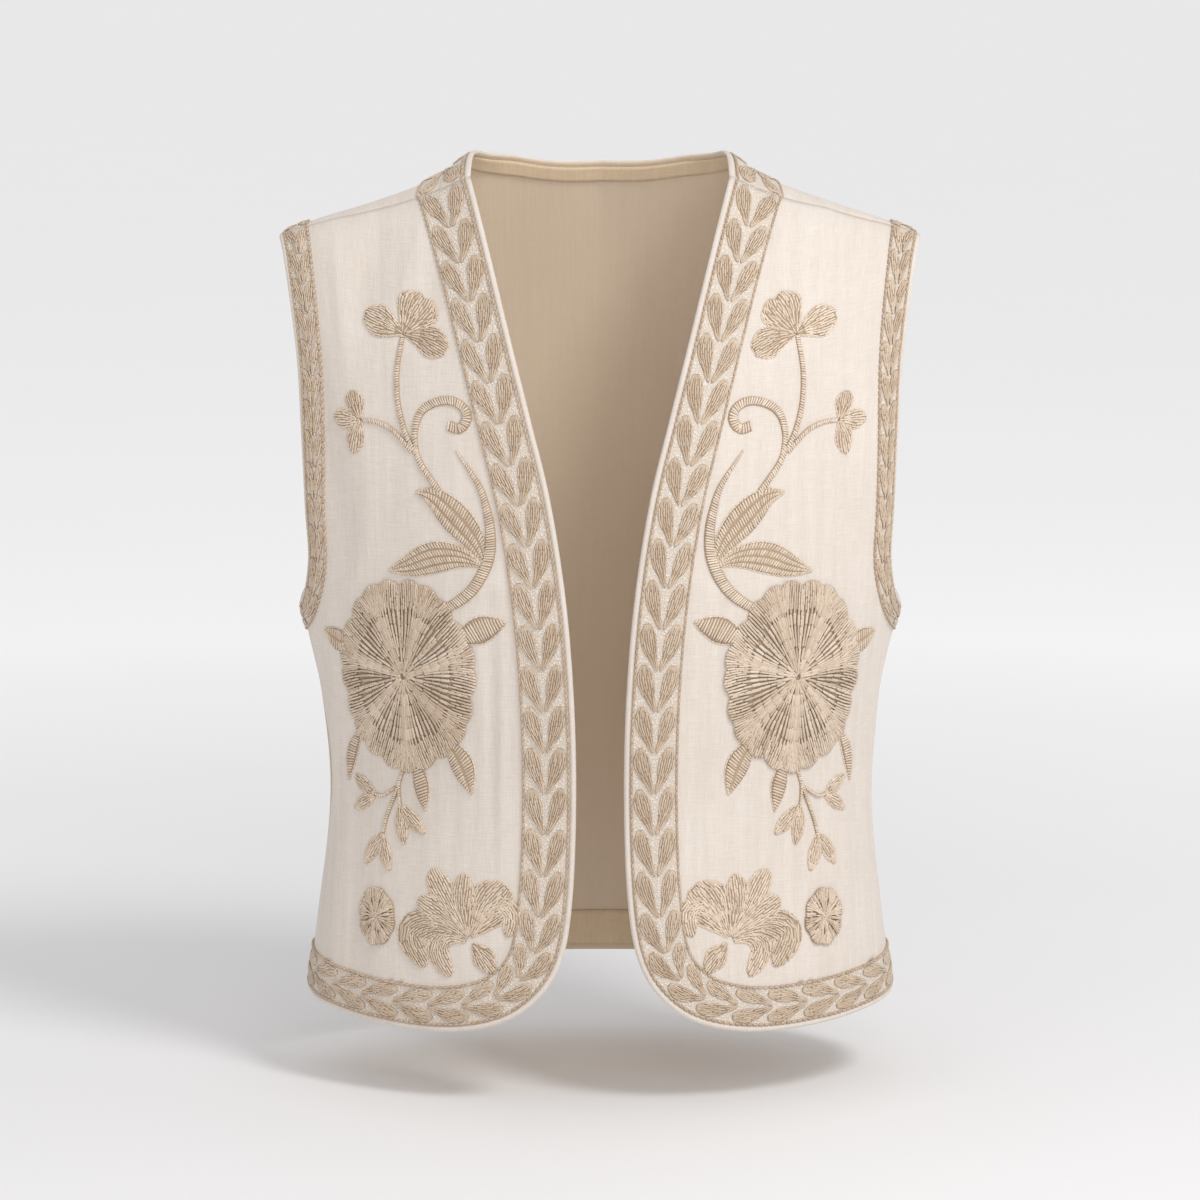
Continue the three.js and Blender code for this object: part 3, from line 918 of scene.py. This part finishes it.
def long_rows(
    threads, shape, pitch=1.7, stitch=5.6, ground=0.0, tone=0.5, wide=1.6, spread=0.2
):
    """Rows of stitches that run the shape's length and close up at its ends."""
    shares = np.linspace(0, 1, 41)
    rows = max(2, round(float(shape.span(shares).max()) / pitch))
    count = int(shape.length / stitch) + 2
    j, k = np.meshgrid(np.arange(rows), np.arange(-1, count), indexing="ij")
    j, k = j.ravel(), k.ravel()
    v = (j + 0.5) / rows * 2 - 1
    brick = np.where(j % 2 == 0, 0.0, 0.5) + rng.uniform(-0.12, 0.12, len(j))
    u0 = np.clip((k + brick) * stitch / shape.length, 0.0, 1.0)
    u1 = np.clip((k + brick + 1.32) * stitch / shape.length, 0.0, 1.0)
    local = shape.span((u0 + u1) / 2) / rows
    every = np.maximum(1, np.ceil(0.62 * pitch / local)).astype(int)
    keep = ((u1 - u0) * shape.length > 0.4 * stitch) & ((j - rows // 2) % every == 0)
    v, u0, u1, local = v[keep], u0[keep], u1[keep], local[keep]
    width = wide * np.clip(local * every[keep] / pitch, 0.75, 1.25)
    sway = rng.uniform(-0.06, 0.06, len(v))
    shade = tone + rng.uniform(-spread, spread, len(v))
    lift = ground + 0.12 + shape.lift((u0 + u1) / 2, v)
    threads.lay(shape.at(u0, v), shape.at(u1, np.clip(v + sway, -1, 1)), width, 0.75, lift, shade)


def cross_rows(
    threads, shape, pitch=1.7, lanes=1, slant=0.8, ground=0.0, tone=0.5, wide=1.55, spread=0.2
):
    """Short satin stitches laid across the shape, in one or more lanes."""
    steps = max(3, int(shape.length / pitch))
    u = (np.arange(steps) + 0.5) / steps
    cuts = np.linspace(-1, 1, lanes + 1)
    for lane, (low, high) in enumerate(zip(cuts[:-1], cuts[1:])):
        lean = slant / shape.length
        jitter = rng.uniform(-0.25, 0.25, (2, steps)) / shape.length
        a = shape.at(np.clip(u - lean + jitter[0], 0, 1), low + 0.02)
        b = shape.at(np.clip(u + lean + jitter[1], 0, 1), high - 0.02)
        mid = (low + high) / 2
        keep = np.linalg.norm(b - a, axis=1) > 0.9
        shade = tone + rng.uniform(-spread, spread, steps)
        lift = ground + 0.1 + shape.lift(u, mid)
        threads.lay(a[keep], b[keep], wide, 0.75, lift[keep], shade[keep])


def run_line(
    threads, points, stitch=3.6, wide=1.15, height=0.5, lift=0.2, tone=0.4, spread=0.12, overlap=1.18
):
    """A line of stitches laid end to end along points of the pattern."""
    gone = np.concatenate([[0], np.cumsum(np.linalg.norm(np.diff(points, axis=0), axis=1))])
    count = max(2, round(gone[-1] / stitch))
    starts = np.arange(count) * gone[-1] / count
    ends = np.minimum(starts + gone[-1] / count * overlap, gone[-1])
    a = np.stack([np.interp(starts, gone, points[:, k]) for k in (0, 1)], -1)
    b = np.stack([np.interp(ends, gone, points[:, k]) for k in (0, 1)], -1)
    shade = tone + rng.uniform(-spread, spread, count)
    threads.lay(a, b, wide, height, lift, shade)


def outline(threads, shape, tone):
    """A line of stitches along the shape's sides, and round a blunt end."""
    u = np.linspace(0, 1, 40)
    lines = [shape.at(u, 1.0), shape.at(u, -1.0)]
    if shape.blunt > 0:
        lines.append(shape.at(1.0, np.linspace(-1, 1, 30)))
    for line in lines:
        run_line(threads, line, 3.2, 1.1, 0.55, 0.12, tone)


# Widths of common shapes: share of the length, half width over the widest.
TEARDROP = ((0, 0.25), (0.1, 0.72), (0.28, 1.0), (0.5, 0.88), (0.75, 0.48), (1, 0.04))
PETAL = ((0, 0.08), (0.2, 0.36), (0.45, 0.72), (0.72, 1.0), (0.9, 0.96), (1, 0.8))
LEAF = ((0, 0.06), (0.2, 0.62), (0.45, 1.0), (0.65, 0.92), (0.85, 0.52), (1, 0.04))
BUD = ((0, 0.1), (0.25, 0.72), (0.5, 1.0), (0.75, 0.85), (1, 0.12))


def scaled(table, left, right=None):
    right = left if right is None else right
    return tuple((share, w * left, w * right) for share, w in table)


# Lines of the stems: points on the cloth, and the width at shares of the length.
STEMS = (
    (((122, -105), (126, -127), (126, -146), (122, -163), (116, -175)), ((0, 1.5), (1, 2.0))),
    (((151, -161), (140, -161), (129, -165), (117, -176)), ((0, 1.3), (1, 1.8))),
    (((116, -173), (111, -183), (105, -191), (98, -200)), ((0, 2.0), (1, 2.3))),
    (
        ((113, -179), (115, -165), (111, -152), (102, -145), (91, -143), (83, -147),
         (81, -154), (86, -160), (93, -158)),
        ((0, 1.4), (0.3, 2.4), (0.6, 3.0), (0.85, 3.4), (1, 3.6)),
    ),
    (
        ((88, -173), (80, -184), (73, -195), (69, -207), (66.5, -221), (67, -235),
         (71, -247), (78, -258), (88, -266), (100, -272)),
        ((0, 0.5), (0.2, 1.9), (0.5, 3.6), (0.75, 3.9), (1, 3.0)),
    ),
    (((127, -370), (133, -387), (140, -403), (144, -416)), ((0, 1.4), (1, 1.1))),
    (((134, -385), (143, -391), (150, -391)), ((0, 0.9), (1, 0.9))),
    (((131, -381), (131, -389), (130, -397)), ((0, 0.9), (1, 0.9))),
)
# Leaves: axis on the cloth, half widths to the left and right, lanes of stitches.
LEAVES = (
    (((70, -242), (77, -228), (90, -214), (103, -203), (115, -200)), 10.0, 9.0, 3),
    (((71, -243), (86, -238), (103, -239), (120, -245), (135, -249)), 9.0, 9.6, 4),
    (((90, -290), (74, -282), (57, -277)), 8.5, 7.5, 1),
    (((163, -300), (177, -296), (190, -290)), 7.0, 7.0, 2),
    (((97, -350), (87, -366), (80, -385)), 7.0, 8.0, 2),
    (((119, -364), (115, -380), (112, -398)), 5.5, 5.5, 1),
    (((161, -350), (170, -366), (174, -385)), 4.5, 4.5, 1),
)
# Small buds: base, tip, half width.
BUDS = (
    ((150, -391), (168, -381), 4.6),
    ((150, -392), (168, -402), 4.2),
    ((130, -395), (127, -420), 4.6),
    ((129, -396), (112, -412), 4.8),
    ((144, -415), (158, -435), 4.6),
    ((144, -415), (138, -437), 4.8),
)
# Petals: axis, half width, roundness of the end, notch, tone, which is partly the thread's colour and
# partly painted sheen.
PETALS = (
    (((121, -104), (134, -99), (148, -95)), 10.5, 0.22, 0.06, 0.66),
    (((121, -104), (114, -91), (106, -77)), 13.5, 0.18, 0.12, 0.52),
    (((121, -104), (107, -106), (93, -113)), 10.0, 0.2, 0.05, 0.42),
    (((152, -161), (155, -153), (157, -144)), 6.6, 0.2, 0.0, 0.4),
    (((152, -161), (162, -162), (172, -163)), 6.0, 0.2, 0.0, 0.6),
    (((152, -161), (156, -171), (159, -182)), 6.4, 0.3, 0.0, 0.45),
    (((82, -472), (86, -452), (84, -434)), 9.5, 0.25, 0.0, 0.5),
    (((82, -472), (97, -462), (116, -452)), 10.5, 0.22, 0.0, 0.5),
    (((82, -473), (104, -466), (121, -474), (111, -493)), 10.5, 0.2, 0.0, 0.42),
    (((80, -472), (68, -453), (56, -440)), 14.5, 0.2, 0.04, 0.55),
    (((81, -472), (94, -454), (107, -433)), 8.0, 0.12, 0.0, 0.58),
    (((78, -472), (71, -458), (61, -452), (54, -458), (57, -471)), 6.8, 0.2, 0.0, 0.62),
    (((83, -475), (96, -474), (102, -483), (93, -497)), 6.8, 0.2, 0.0, 0.6),
    (((79, -476), (72, -484), (65, -493)), 7.4, 0.35, 0.0, 0.48),
)


def bloom(threads, pads, side, centre, radii, petals, scallops, pitch, stitch, tone, turn=0.0):
    """A full round flower of radiating stitches, in petals with scalloped ends."""
    cx, cl = centre

    def reach(angle):
        phase = angle * petals / (2 * math.pi) + turn
        lobe = np.abs(np.sin(math.pi * phase))
        frill = np.abs(np.sin(math.pi * phase * scallops))
        return 0.93 + 0.05 * lobe**0.6 + 0.045 * frill**0.7

    def at(angle, r):
        phase = angle * petals / (2 * math.pi) + turn
        bow = 0.09 * np.sin(2 * math.pi * phase) * np.sin(math.pi * np.clip(r, 0, 1))
        a = angle + bow
        size = r * reach(angle)
        return np.stack([cx + radii[0] * size * np.cos(a), cl + radii[1] * size * np.sin(a)], -1)

    def lift(angle, r):
        phase = angle * petals / (2 * math.pi) + turn
        lobe = np.abs(np.sin(math.pi * phase)) ** 0.5
        return 0.35 + 0.9 * lobe * np.sin(math.pi * np.clip(0.12 + 0.8 * r, 0, 1)) ** 0.8

    mean = (radii[0] + radii[1]) / 2
    around = round(2 * math.pi * mean / pitch / 8) * 8
    rings = int(mean / stitch) + 1
    j, k = np.meshgrid(np.arange(around), np.arange(rings + 1), indexing="ij")
    j, k = j.ravel(), k.ravel()
    angle = 2 * math.pi * (j + rng.uniform(-0.12, 0.12, len(j))) / around
    brick = np.where(j % 2 == 0, 0.0, 0.5) - 0.5 + rng.uniform(-0.12, 0.12, len(j))
    r0 = np.clip((k + brick) * stitch / mean, 0.03, 1)
    r1 = np.clip((k + brick + 1.4) * stitch / mean, 0.03, 1)
    local = (r0 + r1) / 2 * mean * 2 * math.pi / around
    every = 2 ** np.ceil(np.log2(np.maximum(1.0, 0.68 * pitch / local))).astype(int)
    keep = (j % every == 0) & ((r1 - r0) * mean > 0.4 * stitch)
    angle, r0, r1, every, local = angle[keep], r0[keep], r1[keep], every[keep], local[keep]
    phase = angle * petals / (2 * math.pi) + turn
    # Each petal's thread is painted a little lighter or darker: painted sheen.
    petal_sheen = np.sin(np.floor(phase) * 2.4 + 0.7) * 0.12
    shade = tone + petal_sheen + rng.uniform(-0.2, 0.2, len(angle))
    width = 1.12 * pitch * np.clip(local * every / pitch, 0.8, 1.35)
    high = 0.45 + lift(angle, (r0 + r1) / 2)
    threads.lay(at(angle, r0), at(angle, r1), width, 0.85, high, shade)
    around, outwards = np.linspace(0, 2 * math.pi, 121), np.linspace(0.02, 0.97, 12)
    a, r = np.meshgrid(around, outwards, indexing="ij")
    pads.grid(at(a, r), 0.8 * lift(a, r) - 0.05, FRONT, side)
    for k in range(petals):
        edge = (k - turn) * 2 * math.pi / petals
        line = at(edge + 0.0 * np.linspace(0, 1, 30), np.linspace(0.12, 0.98, 30))
        run_line(threads, line, 4.6, 1.4, 0.7, 0.95, tone + 0.24)


def sewn(piece):
    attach(piece, "root")


# Crossed threads at the heart of the large flower: across, up, turn.
HEART = ((0, 0, 0.7), (4, 3, 2.2), (-3, 5, 1.2), (5, -4, 0.2), (-4, -3, 2.7))


def motifs(side, word):
    """The sprig, leaves and flowers of one front."""
    threads, pads = Threads(), Pads()
    # The front on the key light's side gets lighter thread: painted light.
    light = 0.08 if side > 0 else 0.0
    for axis, widths in STEMS:
        stem = Shape(axis, widths, dome=0.9)
        pad_under(pads, stem, FRONT, side, 0.0)
        cross_rows(threads, stem, 1.55, 1, 0.8, tone=0.62 + light, wide=1.45)
    for axis, left, right, lanes in LEAVES:
        leaf = Shape(axis, scaled(LEAF, left, right), dome=0.9)
        pad_under(pads, leaf, FRONT, side, 0.0)
        cross_rows(threads, leaf, 1.75, lanes, 1.0, tone=0.5 + light)
        outline(threads, leaf, tone=0.66 + light)
    for base, tip, half in BUDS:
        middle = ((base[0] + tip[0]) / 2 + 1, (base[1] + tip[1]) / 2)
        bud = Shape((base, middle, tip), scaled(BUD, half), dome=0.8)
        pad_under(pads, bud, FRONT, side, 0.0)
        long_rows(threads, bud, 1.65, 5.0, tone=0.5 + light)
        outline(threads, bud, tone=0.55 + light)
    for axis, half, blunt, notch, tone in PETALS:
        petal = Shape(axis, scaled(PETAL, half), dome=1.0, blunt=blunt, notch=notch)
        pad_under(pads, petal, FRONT, side, 0.0)
        long_rows(threads, petal, 1.75, 5.2, tone=tone + light)
        outline(threads, petal, tone=0.68 + light)
    bloom(threads, pads, side, (126, -314), (50, 60), 7, 3, 1.75, 6.4, 0.36 + light, 0.3)
    bloom(threads, pads, side, (148, -466), (15, 18), 8, 1, 1.6, 5.0, 0.4 + light, 0.2)
    for k in range(9):
        a = k * 2.4
        spot = np.array([148 + 0.9 * k**0.5 * math.cos(a), -466 + 1.1 * k**0.5 * math.sin(a)])
        threads.lay(spot - (0.6, 0.2), spot + (0.6, 0.2), 1.3, 0.7, 1.4, 1.0)
    for dx, dl, turn in HEART:
        half = np.array([math.cos(turn), math.sin(turn)]) * 6.5
        spot = np.array([126 + dx, -312 + dl])
        threads.lay(spot - half, spot + half, 1.3, 0.6, 1.3, 0.62)
    sewn(threads.build("stitches_motifs_" + word, FRONT, side, THREAD))
    sewn(pads.build("padding_motifs_" + word, PAINTED_SHADE_UNDERLAY))


# Bands: repeat, distance of the lobes from the middle line, length, half width.
WIDE_LOBES = (25.5, 9.0, 28.5, 5.2)
NARROW_LOBES = (17.0, 4.7, 19.5, 3.1)
HEM_LOBES = (25.5, 7.6, 28.5, 4.2)


def band_stitches(name, strip, face, side, near, far, lobes, narrow=None, both=False):
    """Pairs of leaf lobes along a band, between two lines of chain stitch."""
    threads, pads = Threads(), Pads()
    repeat, off, long, half = lobes
    length = strip.length
    middle = (near + far) / 2

    def via(p):
        share = np.clip(p[..., 0] / length, 0, 1)
        depth = p[..., 1] if narrow is None else narrow(share, p[..., 1])
        return strip.row(share, depth)

    count = int(length / repeat)
    step = length / (count + 0.12)
    sides = (1, -1) if both else (side,)
    for k in range(-1, count + 1):
        s = (k + 0.1) * step
        for hand in (1, -1):
            wob = rng.uniform(-0.5, 0.5, 4)
            axis = np.array(
                [
                    (s - 1 + wob[0], middle + hand * (off + 0.3)),
                    (s + long * 0.45 + wob[1], middle + hand * (off - 2.2 + 0.4 * wob[2])),
                    (s + long, middle + hand * 0.9),
                ]
            )
            if axis[0, 0] <= -long * 0.55 or s + long * 0.5 >= length:
                continue
            axis[:, 0] = axis[:, 0].clip(0.3, length - 0.3)
            if np.ptp(axis[:, 0]) < 6:
                continue
            lobe = Shape(axis, scaled(TEARDROP, half * (1 + 0.08 * wob[3])), dome=0.55, via=via)
            # One lobe of each pair is painted lighter than the other: painted sheen of the thread.
            tone = 0.3 + 0.06 * hand
            for each in sides:
                pad_under(pads, lobe, face, each, BAND_TOP, 4.0)
            long_rows(threads, lobe, 1.5, 6.0, BAND_TOP, tone, 1.5, 0.14)
    s = np.linspace(0.2, length - 0.2, 400)
    for depth in (near + 0.8, far - 0.9):
        line = via(np.column_stack([s, np.full_like(s, depth)]))
        run_line(threads, line, 3.9, 2.0, 1.3, BAND_TOP - 0.25, 0.1, 0.15, 1.1)
    if both:
        threads.parts += [part * OTHER_SIDE for part in threads.parts]
    sewn(threads.build("stitches_" + name, face, side, THREAD))
    sewn(pads.build("padding_" + name, PAINTED_SHADE_UNDERLAY))


ON_FRONT = (ROLLED_EDGE, FRONT_BAND, WIDE_LOBES)
ON_ARMHOLE = (ARMHOLE_EDGE, ARMHOLE_BAND, NARROW_LOBES)
ON_HEM = (ROLLED_EDGE, HEM_BAND, HEM_LOBES)
for side, word in ((1, "left"), (-1, "right")):
    motifs(side, word)
    band_stitches("front_band_" + word, opening, FRONT, side, *ON_FRONT, opening_depth)
    band_stitches("armhole_front_" + word, front_armhole, FRONT, side, *ON_ARMHOLE)
    band_stitches("armhole_back_" + word, back_armhole, BACK, side, *ON_ARMHOLE)
band_stitches("neck_band", neck, BACK, 1, *ON_FRONT, both=True)
band_stitches("hem_band", hem, BACK, 1, *ON_HEM, both=True)

# ---------------------------------------------------------------- the studio
FLOOR, FLOOR_REACH, FLOOR_SIDES = -575.0, 60000.0, 64


def stage_floor():
    turns = np.linspace(0, 2 * math.pi, FLOOR_SIDES + 1)[:-1]
    ring = [(FLOOR_REACH * math.cos(a), FLOOR_REACH * math.sin(a), FLOOR) for a in turns]
    n = Nodes("studio_floor")
    where = n.add("ShaderNodeTexCoord").outputs["Object"]
    tone = n.noise(where, 3.0, 2.0)
    n.set(n.shader.inputs["Base Color"], n.mix(tone, rgb(238, 237, 237), rgb(241, 240, 240)))
    reach = n.add("ShaderNodeVectorMath", operation="LENGTH")
    n.set(reach.inputs[0], where)
    n.shader.inputs["Emission Color"].default_value = (1.0, 0.99, 1.0, 1.0)
    # Away from the waistcoat the floor glows a little: painted light, standing in for a lit backdrop.
    painted_glow = n.between(reach.outputs["Value"], 0.3, 2.0, 0.0, 0.31)
    n.set(n.shader.inputs["Emission Strength"], painted_glow)
    n.shader.inputs["Roughness"].default_value = 0.7
    n.shader.inputs["Specular IOR Level"].default_value = 0.2
    mesh = bpy.data.meshes.new("studio_floor")
    mesh.from_pydata([tuple(c * MM for c in p) for p in ring], [], [tuple(range(FLOOR_SIDES))])
    mesh.materials.append(n.material)
    floor = bpy.data.objects.new("studio_floor", mesh)
    bpy.context.scene.collection.objects.link(floor)


def area_light(name, where, target, size, power, colour=(1, 1, 1)):
    data = bpy.data.lights.new(name, "AREA")
    data.shape = "DISK"
    data.size = size
    data.energy = power
    data.color = colour
    lamp = bpy.data.objects.new(name, data)
    lamp.location = where
    away = np.array(where) - np.array(target)
    lamp.rotation_euler = (
        math.atan2(math.hypot(away[0], away[1]), away[2]),
        0,
        math.atan2(away[1], away[0]) + math.pi / 2,
    )
    bpy.context.scene.collection.objects.link(lamp)


def studio():
    stage_floor()
    world = bpy.data.worlds.new("studio")
    world.use_nodes = True
    world.node_tree.nodes["Background"].inputs["Color"].default_value = (0.93, 0.93, 0.94, 1)
    world.node_tree.nodes["Background"].inputs["Strength"].default_value = 0.62
    bpy.context.scene.world = world
    area_light("key", (1.3, -1.6, 1.9), (0, 0, -0.3), 0.9, 37)
    area_light("fill", (0.4, -3.0, 0.9), (0, 0, -0.3), 1.6, 15)
    data = bpy.data.cameras.new("camera")
    data.lens = 150
    data.sensor_width = 36
    data.clip_end = 200
    camera = bpy.data.objects.new("camera", data)
    pitch = math.radians(7.7)
    camera.location = (0, -3.115 * math.cos(pitch), -0.2783 + 3.115 * math.sin(pitch))
    camera.rotation_euler = (math.pi / 2 - pitch, 0, 0)
    bpy.context.scene.collection.objects.link(camera)
    bpy.context.scene.camera = camera
    bpy.context.scene.view_settings.view_transform = "Standard"


studio()
